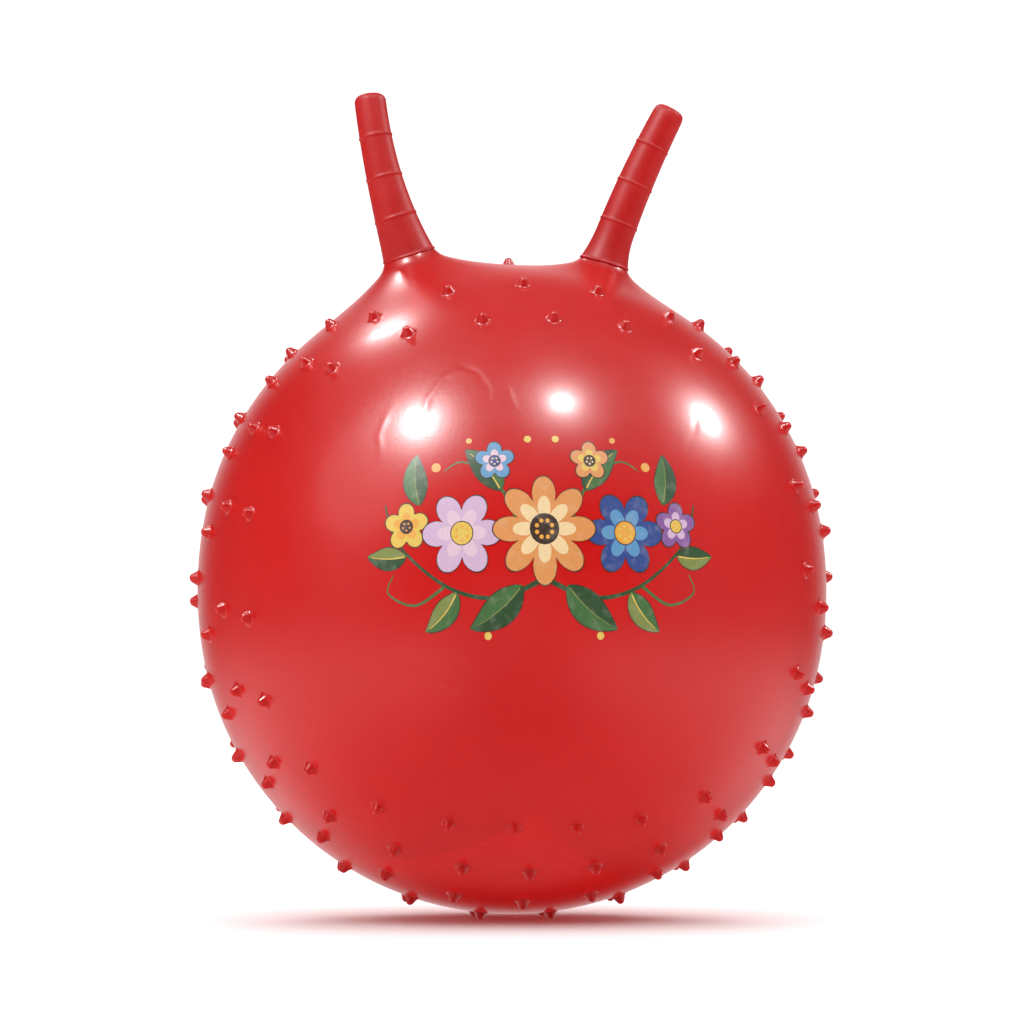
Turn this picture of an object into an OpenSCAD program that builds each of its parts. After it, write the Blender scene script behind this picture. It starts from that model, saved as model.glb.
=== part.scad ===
// Hopper ball: an inflated PVC ball with moulded studs and two horn handles.
// Front is -Y, up is +Z, and the origin lies on the floor under the middle of the ball.

/* [Ball] */
// Diameter of the ball at its widest, halfway up
ball_d = 450; // [400:5:550]
// How much further the top and the bottom reach than half the diameter
ball_stretch = 6.75; // [4:0.25:12]
// Thickness of the skin when blown up
skin_wall = 1.2; // [1:0.1:2.5]

/* [Studs] */
// Height of a stud above the skin
stud_h = 6.4; // [5:0.1:9]
// Diameter of a stud where it leaves the skin
stud_base_d = 10; // [8:0.1:12]
// Diameter of a stud's round tip
stud_tip_d = 5.8; // [4.6:0.1:6.6]
// Number of studs in the ring next to the picture field
stud_first_n = 22; // [17:1:26]
// Rings from the picture field to the middle of the ball
stud_rings = 4; // [3:1:4]
// Half the width of the picture field, as an angle
field_half_w = 62; // [55:0.5:66]
// Half the height of the picture field, as an angle
field_half_h = 50.5; // [46:0.5:56]
// How far the middle of the picture field looks up
field_pitch = 6; // [4:0.5:10]
// How far the studs are drawn towards the bottom of a ring
stud_drift = 6.5; // [0:0.5:9]

/* [Necks] */
// Lean of the left neck away from upright, seen from the front
left_neck_lean = 17.5; // [16:0.5:20]
// Lean of the right neck away from upright, seen from the front
right_neck_lean = 16.5; // [16:0.5:20]
// Height of the left neck above the ball
left_neck_h = 18.5; // [11:0.5:22]
// Height of the right neck above the ball
right_neck_h = 13; // [11:0.5:22]
// Lean of both necks towards the back
neck_back = 2; // [0:0.5:5]
// Radius of the hollow sweep from the ball into the left neck
left_neck_sweep = 75; // [42:1:80]
// Radius of the hollow sweep from the ball into the right neck
right_neck_sweep = 50; // [42:1:80]

/* [Horns] */
// Length of a horn along its own axis
horn_len = 120; // [116:1:140]
// Diameter of a horn at its foot
horn_foot_d = 37; // [34:0.5:42]
// Diameter of a horn at its tip
horn_tip_d = 23; // [20:0.5:26]
// Thickness of a horn's wall
horn_wall = 1.8; // [1.4:0.1:3]
// Rounding of the edge at the tip
tip_round = 5; // [3:0.5:7]
// Height of the lowest grip rib above the foot of the horn
rib_first = 29; // [24:0.5:32]
// Distance from one grip rib to the next
rib_pitch = 30; // [24:0.5:32]
// How far a grip rib stands out
rib_h = 1.1; // [0.6:0.1:2]
// Width of a grip rib along the horn
rib_w = 4.4; // [3:0.2:7]
// Sideways lean of the left horn just above its foot
left_lean_foot = 21; // [10:0.5:24]
// Sideways lean of the left horn at its tip
left_lean_tip = 5; // [0:0.5:22]
// Lean of the left horn to the back at its tip
left_back_tip = 16; // [-10:0.5:20]
// Sideways lean of the right horn just above its foot
right_lean_foot = 19.5; // [10:0.5:24]
// Sideways lean of the right horn at its tip
right_lean_tip = 28.5; // [10:0.5:32]
// Lean of the right horn to the back at its tip
right_back_tip = 4; // [-10:0.5:20]

/* [Valve] */
// Height of the valve above the middle of the back, as an angle
valve_rise = 24; // [14:1:30]
// Diameter of the valve's collar
collar_d = 26; // [22:0.5:32]
// Height of the collar above the skin
collar_h = 1.6; // [1:0.1:3]
// Diameter of the sleeve that hangs inside the ball
sleeve_d = 15; // [13:0.5:17]
// Length of that sleeve below the skin
sleeve_len = 14; // [10:0.5:18]
// Bore of the sleeve
valve_bore_d = 9; // [7:0.1:10]
// Diameter of the plug's head
plug_head_d = 17; // [14:0.5:20]
// Thickness of the plug's head
plug_head_h = 2.4; // [1.5:0.1:4]
// Length of the plug's shank
plug_len = 12; // [8:0.5:16]
// Gap between the plug's shank and the bore
plug_gap = 0.1; // [0.05:0.01:0.2]

/* [Hidden] */
$fn = 96;
skin_red = "#c8141e";
horn_red = "#b01119";
valve_white = "#e8e6df";

// Gap between a horn and its neck
seam_gap = 0.3;
// Gap between a neck and the edge of its hole in the ball
hole_gap = 0.1;
// Gap between the plug's head and the collar
head_gap = 0.1;
// Depth by which a stud reaches into the skin
stud_sink = 0.5;
// How far a stud's cone reaches past the middle of its round tip, and how much less wide it is there
tip_cover = 1;
tip_bulge = 0.24;
// How much shorter the studs are that the ball stands on
foot_cut = 0.5;
// Depth by which these studs reach into the ball before its inside is cut out
foot_sink = 3;
// Least height of any other stud above the floor
foot_clear = 0.4;
// Share of a step by which the front's first ring is turned
first_turn = 0.66;
// How many more studs each ring has than the first
ring_more = [0, 2, 3, 3];
// Least room between a stud and a neck or the valve
stud_room = 2;
// Height of the shallow thumb recess in the plug's head
dish_h = 0.8;
dish_rim = 2;
shank_chamfer = 1;
horn_sides = 28;
sweep_steps = 10;
path_steps = 12;
// Height over which the rings of a horn turn from the neck's lean to the horn's own
settle = 18;
taper_power = 1.7;
oval_power = 2.9;
cut = 1;

ball_r = ball_d / 2;
function unit(v) = v / norm(v);
function angle_between(a, b) = acos(max(-1, min(1, a * b)));
function lean_dir(side, out, back) = unit([side * tan(out), tan(back), 1]);

// Direction at an angle theta from the middle of the picture field, turned psi from straight up
function field_dir(theta, psi) =
    let (y = -cos(theta), z = sin(theta) * cos(psi))
    [sin(theta) * sin(psi),
     y * cos(field_pitch) + z * sin(field_pitch),
     z * cos(field_pitch) - y * sin(field_pitch)];

// The innermost ring is a rounded oval, and the others spread evenly to the middle of the ball
function oval(psi) =
    pow(pow(abs(sin(psi)) / field_half_w, oval_power)
        + pow(abs(cos(psi)) / field_half_h, oval_power), -1 / oval_power);
function ring_theta(ring, psi) = oval(psi) + (90 - oval(psi)) * ring / (stud_rings - 1);
function drifted(psi) = psi + stud_drift * sin(psi) * (1 - cos(psi)) / 2;

// Front rings start with a stud at the bottom, the middle ring and the back rings with a gap,
// and the first ring is turned a little
function ring_dirs(ring, back) =
    let (n = stud_first_n + ring_more[ring],
         start = back || ring == stud_rings - 1 ? 0.5 : ring > 0 ? 0 : first_turn)
    [for (i = [0 : n - 1])
        let (psi = drifted(180 - (i + start) * 360 / n),
             theta = ring_theta(ring, psi))
        field_dir(back ? 180 - theta : theta, psi)];

// Each neck stands on the upper half of the ball, square to it
neck_side = [-1, 1];
neck_lean = [left_neck_lean, right_neck_lean];
neck_dirs = [for (i = [0, 1]) lean_dir(neck_side[i], neck_lean[i], neck_back)];
neck_top_r = horn_foot_d / 2;
neck_top = [ball_r + left_neck_h, ball_r + right_neck_h];

// The sweep touches the ball and ends at the top edge of the neck: its centre is where a circle
// round the ball's centre and a circle round that edge cross
neck_sweep = [left_neck_sweep, right_neck_sweep];
function sweep_centre(i) =
    let (d = norm([neck_top_r, neck_top[i]]),
         reach = ball_r + neck_sweep[i],
         along = (reach * reach - neck_sweep[i] * neck_sweep[i] + d * d) / (2 * d),
         aside = sqrt(reach * reach - along * along))
    [along * neck_top_r + aside * neck_top[i], along * neck_top[i] - aside * neck_top_r] / d;
function foot_angle(i) = let (c = sweep_centre(i)) atan2(c.x, c.y);
function hole_angle(i) = foot_angle(i) + asin(hole_gap / ball_r);

// The cone of a stud ends inside its round tip
stud_neck_h = stud_h - stud_tip_d / 2 + tip_cover;
stud_neck_d = 2 * sqrt(stud_tip_d * stud_tip_d / 4 - tip_cover * tip_cover) - tip_bulge;

// Studs keep clear of the necks and of the valve
valve_dir = [0, cos(valve_rise), sin(valve_rise)];
stud_reach = stud_base_d / 2 + stud_room;
function is_free(d) =
    angle_between(d, neck_dirs[0]) > foot_angle(0) + asin(stud_reach / ball_r)
    && angle_between(d, neck_dirs[1]) > foot_angle(1) + asin(stud_reach / ball_r)
    && angle_between(d, valve_dir) > asin((collar_d / 2 + stud_reach) / ball_r);
all_stud_dirs = [
    for (ring = [0 : stud_rings - 1]) each ring_dirs(ring, false),
    for (ring = [0 : stud_rings - 2]) each ring_dirs(ring, true)];
stud_dirs = [for (d = all_stud_dirs) if (is_free(d)) d];

// The ball stands on its lowest studs, which are a little shorter and end level
function half_shift(d) = d.z < 0 ? -ball_stretch : ball_stretch;
function tip_depth(d) = -half_shift(d) - (ball_r + stud_h) * d.z;
ball_h = max([for (d = stud_dirs) tip_depth(d)]) - foot_cut;
function is_foot(d) = tip_depth(d) + stud_tip_d / 2 * norm([d.x, d.y]) > ball_h - foot_clear;

// Places children on the ball's surface, with +Z straight out
module at_dir(d) {
    translate([0, 0, ball_h + half_shift(d)])
        rotate([0, acos(d.z), atan2(d.y, d.x)])
            translate([0, 0, ball_r])
                children();
}

// Places children at the centre of the ball's upper half, with +Z along a neck
module at_neck(i) {
    d = neck_dirs[i];
    translate([0, 0, ball_h + ball_stretch])
        rotate([0, acos(d.z), atan2(d.y, d.x)])
            children();
}

// Two balls set a little apart, one above the other, drawn in from the surface by the given depth.
// The spheres' own poles point at the two picture fields, away from every stud.
module ball_solid(depth) {
    for (up = [-1, 1])
        translate([0, 0, ball_h + up * ball_stretch])
            rotate([90 - field_pitch, 0, 0])
                sphere(ball_r - depth);
}

// A stud that tapers into a round tip, sunk a little into the skin
module stud(d) {
    at_dir(d) {
        translate([0, 0, -stud_sink])
            cylinder(d1 = stud_base_d, d2 = stud_neck_d, h = stud_neck_h + stud_sink, $fn = 24);
        translate([0, 0, stud_h - stud_tip_d / 2])
            sphere(d = stud_tip_d, $fn = 24);
    }
}

// An upright stud that ends level on the floor
module foot(d) {
    p = [0, 0, ball_h + half_shift(d)] + ball_r * d;
    translate([p.x, p.y, 0])
        cylinder(d1 = stud_neck_d, d2 = stud_base_d, h = p.z + foot_sink, $fn = 24);
}

// The skin with its holes under the necks and the valve, and the studs moulded onto it
module ball_shell() {
    color(skin_red)
        union() {
            difference() {
                union() {
                    ball_solid(0);
                    for (d = stud_dirs)
                        if (is_foot(d))
                            foot(d);
                }
                ball_solid(skin_wall);
                for (i = [0, 1])
                    at_neck(i)
                        cylinder(r1 = 0, r2 = 2 * ball_r * tan(hole_angle(i)), h = 2 * ball_r);
                at_dir(valve_dir)
                    translate([0, 0, -skin_wall - cut])
                        cylinder(d = sleeve_d, h = skin_wall + 2 * cut);
            }
            for (d = stud_dirs)
                if (!is_foot(d))
                    stud(d);
        }
}

// A neck carries the ball's skin up to the foot of a horn in one hollow sweep
module horn_root(i) {
    c = sweep_centre(i);
    from = atan2(-c.y, -c.x);
    to = atan2(neck_top[i] - c.y, neck_top_r - c.x);
    turn = to > from ? to - from - 360 : to - from;
    angles = [for (k = [0 : sweep_steps]) from + turn * k / sweep_steps];
    outer = [for (a = angles) c + neck_sweep[i] * [cos(a), sin(a)]];
    inner = [for (a = angles) c + (neck_sweep[i] + skin_wall) * [cos(a), sin(a)]];
    color(skin_red)
        at_neck(i)
            rotate_extrude()
                polygon(concat(outer, [for (k = [sweep_steps : -1 : 0]) inner[k]]));
}

// A horn's own line bends evenly from its foot to its tip
lean_foot = [left_lean_foot, right_lean_foot];
lean_tip = [left_lean_tip, right_lean_tip];
back_tip = [left_back_tip, right_back_tip];
function horn_dir(i, s) =
    let (t = s / horn_len)
    lean_dir(neck_side[i], lean_foot[i] + (lean_tip[i] - lean_foot[i]) * t,
             neck_back + (back_tip[i] - neck_back) * t);
function horn_foot(i) =
    [0, 0, ball_h + ball_stretch] + (neck_top[i] + seam_gap) * neck_dirs[i];
function horn_point(i, s) =
    let (dirs = [for (k = [0 : path_steps - 1]) horn_dir(i, s * (k + 0.5) / path_steps)],
         ones = [for (k = [0 : path_steps - 1]) 1])
    horn_foot(i) + s / path_steps * (ones * dirs);
function ring_dir(i, s) =
    let (t = min(1, s / settle)) unit((1 - t) * neck_dirs[i] + t * horn_dir(i, s));

// The horn tapers in a hollow curve, with a bead at its foot and three ribs along the grip
rib_places = [rib_w / 2, for (k = [0 : 2]) rib_first + k * rib_pitch];
function taper_r(s) =
    horn_tip_d / 2 + (horn_foot_d - horn_tip_d) / 2 * pow(1 - min(1, s / horn_len), taper_power);
function rib_bump(s) =
    max([for (p = rib_places) rib_h * max(0, 1 - pow(2 * (s - p) / rib_w, 2))]);

rib_offsets = [-0.5, -0.3, 0, 0.3, 0.5] * rib_w;
outer_rings = concat(
    [for (p = rib_places) each [
        for (o = rib_offsets) [p + o, taper_r(p + o) + rib_bump(p + o)],
        [p + rib_first / 2, taper_r(p + rib_first / 2)]]],
    [for (a = [0 : 22.5 : 90])
        [horn_len - tip_round * (1 - sin(a)), taper_r(horn_len) - tip_round * (1 - cos(a))]]);
bore_steps = 6;
bore_end = horn_len - tip_round;
inner_rings = concat(
    [for (k = [0 : bore_steps])
        let (s = bore_end * k / bore_steps) [s, taper_r(s) - horn_wall]],
    [[horn_len - horn_wall, taper_r(horn_len) - tip_round]]);

function horn_ring(i, ring) =
    let (d = ring_dir(i, ring[0]),
         u = unit(cross([0, 1, 0], d)),
         v = cross(d, u),
         p = horn_point(i, ring[0]))
    [for (k = [0 : horn_sides - 1])
        let (a = 360 * k / horn_sides) p + ring[1] * (cos(a) * u + sin(a) * v)];

// One skin from the closed end of the bore, down to the foot and up to the tip
module horn(i) {
    rings = concat([for (k = [len(inner_rings) - 1 : -1 : 0]) inner_rings[k]], outer_rings);
    n = horn_sides;
    last = (len(rings) - 1) * n;
    color(horn_red)
        polyhedron(
            points = [for (ring = rings) each horn_ring(i, ring)],
            faces = concat(
                [[for (k = [0 : n - 1]) k], [for (k = [n - 1 : -1 : 0]) last + k]],
                [for (r = [0 : len(rings) - 2], k = [0 : n - 1])
                    let (a = r * n + k, b = r * n + (k + 1) % n)
                    each [[a, a + n, b + n], [a, b + n, b]]]));
}

module left_horn_root() { horn_root(0); }
module right_horn_root() { horn_root(1); }
module left_horn() { horn(0); }
module right_horn() { horn(1); }

// A soft sleeve through the skin, with a collar that lies on the ball
module valve_seat() {
    color(valve_white)
        at_dir(valve_dir)
            difference() {
                rotate_extrude()
                    union() {
                        translate([0, -sleeve_len])
                            square([sleeve_d / 2, sleeve_len + collar_h]);
                        difference() {
                            translate([0, -collar_h])
                                square([collar_d / 2, 2 * collar_h]);
                            translate([0, -ball_r])
                                circle(ball_r, $fn = 400);
                        }
                    }
                translate([0, 0, -sleeve_len - cut])
                    cylinder(d = valve_bore_d, h = sleeve_len + collar_h + 2 * cut);
            }
}

// A stopper whose shank fills the bore and whose dished head lies on the collar
module valve_plug() {
    shank_r = valve_bore_d / 2 - plug_gap;
    color(valve_white)
        at_dir(valve_dir)
            translate([0, 0, collar_h + head_gap])
                rotate_extrude()
                    polygon([
                        [0, -plug_len],
                        [shank_r - shank_chamfer, -plug_len],
                        [shank_r, -plug_len + shank_chamfer],
                        [shank_r, 0],
                        [plug_head_d / 2, 0],
                        [plug_head_d / 2, plug_head_h - dish_h],
                        [plug_head_d / 2 - dish_h, plug_head_h],
                        [plug_head_d / 2 - dish_rim, plug_head_h],
                        [plug_head_d / 2 - dish_rim - dish_h, plug_head_h - dish_h],
                        [0, plug_head_h - dish_h]]);
}

ball_shell();
left_horn_root();
right_horn_root();
left_horn();
right_horn();
valve_seat();
valve_plug();
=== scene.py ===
import math

import bpy
import numpy as np
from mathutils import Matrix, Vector
from mathutils.geometry import delaunay_2d_cdt


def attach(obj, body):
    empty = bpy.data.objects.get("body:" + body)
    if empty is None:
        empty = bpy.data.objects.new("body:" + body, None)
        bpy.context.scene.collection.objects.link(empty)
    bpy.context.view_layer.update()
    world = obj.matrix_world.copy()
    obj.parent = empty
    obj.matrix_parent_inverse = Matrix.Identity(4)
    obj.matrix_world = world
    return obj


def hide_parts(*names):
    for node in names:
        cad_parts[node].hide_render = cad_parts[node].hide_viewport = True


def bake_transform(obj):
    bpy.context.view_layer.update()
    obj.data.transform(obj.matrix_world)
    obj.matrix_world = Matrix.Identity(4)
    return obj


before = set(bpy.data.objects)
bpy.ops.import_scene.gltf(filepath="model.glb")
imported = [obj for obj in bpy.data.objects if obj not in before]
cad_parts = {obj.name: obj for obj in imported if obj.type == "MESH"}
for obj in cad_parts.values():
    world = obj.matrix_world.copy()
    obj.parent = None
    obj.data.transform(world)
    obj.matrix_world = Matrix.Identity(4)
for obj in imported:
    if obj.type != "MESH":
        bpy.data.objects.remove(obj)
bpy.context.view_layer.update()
mm = 0.001
print("frame loaded:", ", ".join(sorted(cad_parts)))


# A socket that can be used in sums: mask * 0.5 + 1 adds the Math nodes for it
class Wire:
    def __init__(self, sheet, socket):
        self.sheet = sheet
        self.socket = socket

    def math(self, operation, first, second=None):
        values = [first] if second is None else [first, second]
        return self.sheet.add("ShaderNodeMath", {"operation": operation}, dict(enumerate(values)))

    def __add__(self, other):
        return self.math("ADD", self, other)

    def __radd__(self, other):
        return self.math("ADD", other, self)

    def __sub__(self, other):
        return self.math("SUBTRACT", self, other)

    def __rsub__(self, other):
        return self.math("SUBTRACT", other, self)

    def __mul__(self, other):
        return self.math("MULTIPLY", self, other)

    def __rmul__(self, other):
        return self.math("MULTIPLY", other, self)

    def __pow__(self, other):
        return self.math("POWER", self, other)

    def __rpow__(self, other):
        return self.math("POWER", other, self)

    def __abs__(self):
        return self.math("ABSOLUTE", self)


# The node sheet of one material or world
class Sheet:
    def __init__(self, owner):
        owner.use_nodes = True
        self.tree = owner.node_tree
        self.tree.nodes.clear()

    def add(self, kind, settings=None, sockets=None, out=0):
        node = self.tree.nodes.new(kind)
        for key, value in (settings or {}).items():
            setattr(node, key, value)
        for key, value in (sockets or {}).items():
            if isinstance(value, Wire):
                self.tree.links.new(value.socket, node.inputs[key])
            else:
                node.inputs[key].default_value = value
        return Wire(self, node.outputs[out]) if node.outputs else None

    def mix(self, share, first, second):
        settings = {"data_type": "RGBA", "clamp_factor": True}
        return self.add("ShaderNodeMix", settings, {0: share, 6: first, 7: second}, out=2)

    def noise(self, place, scale, detail=2.0, rough=0.5):
        sockets = {"Vector": place, "Scale": scale, "Detail": detail, "Roughness": rough}
        return self.add("ShaderNodeTexNoise", {}, sockets)

    def spread(self, value, low, high, toLow=0.0, toHigh=1.0):
        sockets = {0: value, 1: low, 2: high, 3: toLow, 4: toHigh}
        return self.add("ShaderNodeMapRange", {"clamp": True}, sockets)

    def place(self):
        return self.add("ShaderNodeTexCoord", out=3)

    def bump(self, height, distance, strength=1.0, under=None):
        sockets = {"Height": height, "Distance": distance, "Strength": strength}
        if under is not None:
            sockets["Normal"] = under
        return self.add("ShaderNodeBump", {}, sockets)

    def finish(self, surface):
        self.add("ShaderNodeOutputMaterial", {}, {"Surface": surface})


def material(name):
    made = bpy.data.materials.new(name)
    return made, Sheet(made)


# Satin PVC of the blown-up ball
skinLook = {
    "red": (0.56, 0.003, 0.002, 1),
    "deepRed": (0.51, 0.002, 0.0015, 1),
    "paleRed": (0.60, 0.009, 0.007, 1),
    "roughness": 0.33,
    "coat": 0.25,
    "coatRoughness": 0.18,
    "ior": 1.38,
    "cloudScale": 7.0,
    "speckScale": 420.0,
    "scuffScale": 38.0,
    "swellScale": 16.0,
    "speckDepth": 0.05 * mm,
    "swellDepth": 0.5 * mm,
}


def skinMaterial():
    made, sheet = material("skin_pvc")
    place = sheet.place()
    clouds = sheet.noise(place, skinLook["cloudScale"], 3.0)
    specks = sheet.noise(place, skinLook["speckScale"], 2.0)
    scuffs = sheet.noise(place, skinLook["scuffScale"], 5.0, 0.65)
    colour = sheet.mix(sheet.spread(clouds, 0.35, 0.7), skinLook["deepRed"], skinLook["red"])
    colour = sheet.mix(sheet.spread(specks, 0.52, 0.8) * 0.35, colour, skinLook["paleRed"])
    rough = skinLook["roughness"] + (scuffs - 0.5) * 0.1 + (specks - 0.5) * 0.1
    grain = sheet.bump(specks, skinLook["speckDepth"], 0.8)
    waves = sheet.noise(place, skinLook["swellScale"], 2.0)
    swell = sheet.bump(waves, skinLook["swellDepth"], 0.35, grain)
    surface = sheet.add("ShaderNodeBsdfPrincipled", {}, {
        "Base Color": colour,
        "Roughness": rough,
        "IOR": skinLook["ior"],
        "Coat Weight": skinLook["coat"],
        "Coat Roughness": skinLook["coatRoughness"],
        "Normal": swell,
    })
    sheet.finish(surface)
    return made


# Grainier PVC of the grips
hornLook = {
    "red": (0.47, 0.003, 0.0025, 1),
    "worn": (0.53, 0.012, 0.010, 1),
    "roughness": 0.5,
    "ior": 1.3,
    "grainScale": 900.0,
    "blotchScale": 70.0,
    "grainDepth": 0.06 * mm,
    "blotchDepth": 0.25 * mm,
}


def hornMaterial():
    made, sheet = material("horn_pvc")
    place = sheet.place()
    grain = sheet.noise(place, hornLook["grainScale"], 3.0, 0.6)
    blotch = sheet.noise(place, hornLook["blotchScale"], 4.0, 0.6)
    colour = sheet.mix(sheet.spread(blotch, 0.4, 0.75) * 0.6, hornLook["red"], hornLook["worn"])
    rough = hornLook["roughness"] + (blotch - 0.5) * 0.16
    fine = sheet.bump(grain, hornLook["grainDepth"], 0.6)
    surface = sheet.add("ShaderNodeBsdfPrincipled", {}, {
        "Base Color": colour,
        "Roughness": rough,
        "IOR": hornLook["ior"],
        "Normal": sheet.bump(blotch, hornLook["blotchDepth"], 0.4, fine),
    })
    sheet.finish(surface)
    return made


# Soft white PVC of the valve
valveLook = {
    "white": (0.60, 0.58, 0.53, 1),
    "grey": (0.46, 0.44, 0.40, 1),
    "roughness": 0.42,
    "ior": 1.5,
    "dustScale": 160.0,
    "dustDepth": 0.05 * mm,
}


def valveMaterial():
    made, sheet = material("valve_pvc")
    place = sheet.place()
    dust = sheet.noise(place, valveLook["dustScale"], 4.0, 0.6)
    colour = sheet.mix(sheet.spread(dust, 0.45, 0.8) * 0.7, valveLook["white"], valveLook["grey"])
    surface = sheet.add("ShaderNodeBsdfPrincipled", {}, {
        "Base Color": colour,
        "Roughness": valveLook["roughness"] + (dust - 0.5) * 0.2,
        "IOR": valveLook["ior"],
        "Normal": sheet.bump(dust, valveLook["dustDepth"], 0.5),
    })
    sheet.finish(surface)
    return made


# Printed ink: each face carries its own colour, broken up by a fine print grain
inkLook = {
    "dark": (0.03, 0.02, 0.015, 1),
    "faded": (0.75, 0.70, 0.55, 1),
    "grain": 0.22,
    "fading": 0.18,
    "grainScale": 1500.0,
    "washScale": 130.0,
    "roughness": 0.42,
    "ior": 1.5,
    "coat": 0.35,
    "coatRoughness": 0.25,
}


def inkMaterial():
    made, sheet = material("print_ink")
    place = sheet.place()
    ink = sheet.add("ShaderNodeVertexColor", {"layer_name": "ink"})
    grain = sheet.noise(place, inkLook["grainScale"], 2.0)
    wash = sheet.noise(place, inkLook["washScale"], 3.0, 0.6)
    shade = sheet.spread(grain, 0.4, 0.75) * inkLook["grain"]
    colour = sheet.mix(shade, ink, inkLook["dark"])
    colour = sheet.mix(sheet.spread(wash, 0.5, 0.85) * inkLook["fading"], colour, inkLook["faded"])
    surface = sheet.add("ShaderNodeBsdfPrincipled", {}, {
        "Base Color": colour,
        "Roughness": inkLook["roughness"] + (wash - 0.5) * 0.12,
        "IOR": inkLook["ior"],
        "Coat Weight": inkLook["coat"],
        "Coat Roughness": inkLook["coatRoughness"],
    })
    sheet.finish(surface)
    return made


skin = skinMaterial()
hornSkin = hornMaterial()
valveWhite = valveMaterial()
ink = inkMaterial()
print("materials made")


def unit(v):
    v = np.asarray(v, float)
    return v / np.linalg.norm(v, axis=-1, keepdims=True)


def leanDir(side, out, back):
    return unit([side * math.tan(math.radians(out)), math.tan(math.radians(back)), 1.0])


def meshPiece(name, points, faces, look, normals=None):
    mesh = bpy.data.meshes.new(name)
    mesh.from_pydata([tuple(p) for p in points], [], [tuple(int(i) for i in f) for f in faces])
    mesh.polygons.foreach_set("use_smooth", [True] * len(mesh.polygons))
    mesh.materials.append(look)
    if normals is not None:
        mesh.normals_split_custom_set_from_vertices([tuple(n) for n in normals])
    mesh.update()
    piece = bpy.data.objects.new(name, mesh)
    bpy.context.scene.collection.objects.link(piece)
    return piece


# The ball is a little taller than wide
ball = {
    "radius": 225 * mm,
    "stretch": 6.75 * mm,
    "soften": 0.25,
    "spacing": 8 * mm,
}

# Each neck rises from the ball in a hollow sweep: a long low tail and a short steep top
necks = {
    "left": {"side": -1, "lean": 17.5, "height": 18.5 * mm, "sweep": 75 * mm, "tail": 30.0, "edge": 15.0,
             "lowered": 0.0 * mm, "topRadius": 18.8 * mm},
    "right": {"side": 1, "lean": 16.5, "height": 13 * mm, "sweep": 50 * mm, "tail": 23.0, "edge": 12.5,
              "lowered": 1.5 * mm, "topRadius": 17.2 * mm},
}
neckForm = {
    "back": 2.0,
    "solidRadius": 18.5 * mm,
    "tailShare": 0.82,
    "steepTo": 7.0,
    "power": 4.0,
    "segments": 96,
    "rings": 30,
    "crowding": 1.5,
    "tuck": ((0.4 * mm, 0.35 * mm), (2.0 * mm, 0.5 * mm)),
    "bendAbove": 6 * mm,
}

for neck in necks.values():
    neck["dir"] = leanDir(neck["side"], neck["lean"], neckForm["back"])
    neck["top"] = ball["radius"] + neck["height"] - neck["lowered"]
    neck["rise"] = math.hypot(neck["topRadius"], neck["top"]) - ball["radius"]
    neck["topAngle"] = math.degrees(math.atan2(neck["topRadius"], neck["top"]))


# The angle at which the solid's sweep meets the ball; studs keep clear of it
def footAngle(neck):
    top = np.array([neckForm["solidRadius"], ball["radius"] + neck["height"]])
    d = np.linalg.norm(top)
    reach = ball["radius"] + neck["sweep"]
    along = (reach ** 2 - neck["sweep"] ** 2 + d ** 2) / (2 * d)
    aside = math.sqrt(reach ** 2 - along ** 2)
    centre = (along * top + aside * np.array([top[1], -top[0]])) / d
    return math.atan2(centre[0], centre[1])


# Rings of studs lie round a picture field at the front and one at the back
studs = {
    "height": 6.4 * mm,
    "tipRadius": 2.9 * mm,
    "sideAngle": 27.0,
    "flare": 2.3 * mm,
    "firstCount": 22,
    "more": (0, 2, 3, 3),
    "halfWidth": 62.0,
    "halfHeight": 50.5,
    "squareness": 2.9,
    "pitch": 6.0,
    "drift": 6.5,
    "firstTurn": 0.66,
    "footCut": 0.5 * mm,
    "reach": 7 * mm,
    "segments": 22,
    "tipSteps": (17, 34, 51),
    "skirtSteps": (48, 32, 17),
    "rim": 0.8 * mm,
}
valve = {"rise": 24.0, "collarRadius": 13 * mm, "holeRadius": 7.6 * mm, "segments": 36}
valveDir = np.array([0.0, math.cos(math.radians(valve["rise"])), math.sin(math.radians(valve["rise"]))])


# Direction at an angle theta from the middle of the field, turned psi from straight up
def fieldDir(theta, psi):
    pitch = math.radians(studs["pitch"])
    y = -np.cos(theta)
    z = np.sin(theta) * np.cos(psi)
    return np.stack([
        np.sin(theta) * np.sin(psi),
        y * math.cos(pitch) + z * math.sin(pitch),
        z * math.cos(pitch) - y * math.sin(pitch),
    ], axis=-1)


# The other way: theta and psi of a direction
def fieldAngles(d):
    pitch = math.radians(studs["pitch"])
    y = d[..., 1] * math.cos(pitch) - d[..., 2] * math.sin(pitch)
    z = d[..., 2] * math.cos(pitch) + d[..., 1] * math.sin(pitch)
    return np.arccos(np.clip(-y, -1, 1)), np.arctan2(d[..., 0], z)


def ovalAngle(psi):
    power = studs["squareness"]
    wide = (np.abs(np.sin(psi)) / math.radians(studs["halfWidth"])) ** power
    high = (np.abs(np.cos(psi)) / math.radians(studs["halfHeight"])) ** power
    return (wide + high) ** (-1 / power)


def ringDirs(ring, back):
    count = studs["firstCount"] + studs["more"][ring]
    last = len(studs["more"]) - 1
    start = 0.5 if back or ring == last else (0.0 if ring > 0 else studs["firstTurn"])
    turn = np.pi - (np.arange(count) + start) * 2 * np.pi / count
    psi = turn + math.radians(studs["drift"]) * np.sin(turn) * (1 - np.cos(turn)) / 2
    oval = ovalAngle(psi)
    theta = oval + (np.pi / 2 - oval) * ring / last
    return fieldDir(np.pi - theta if back else theta, psi)


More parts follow.
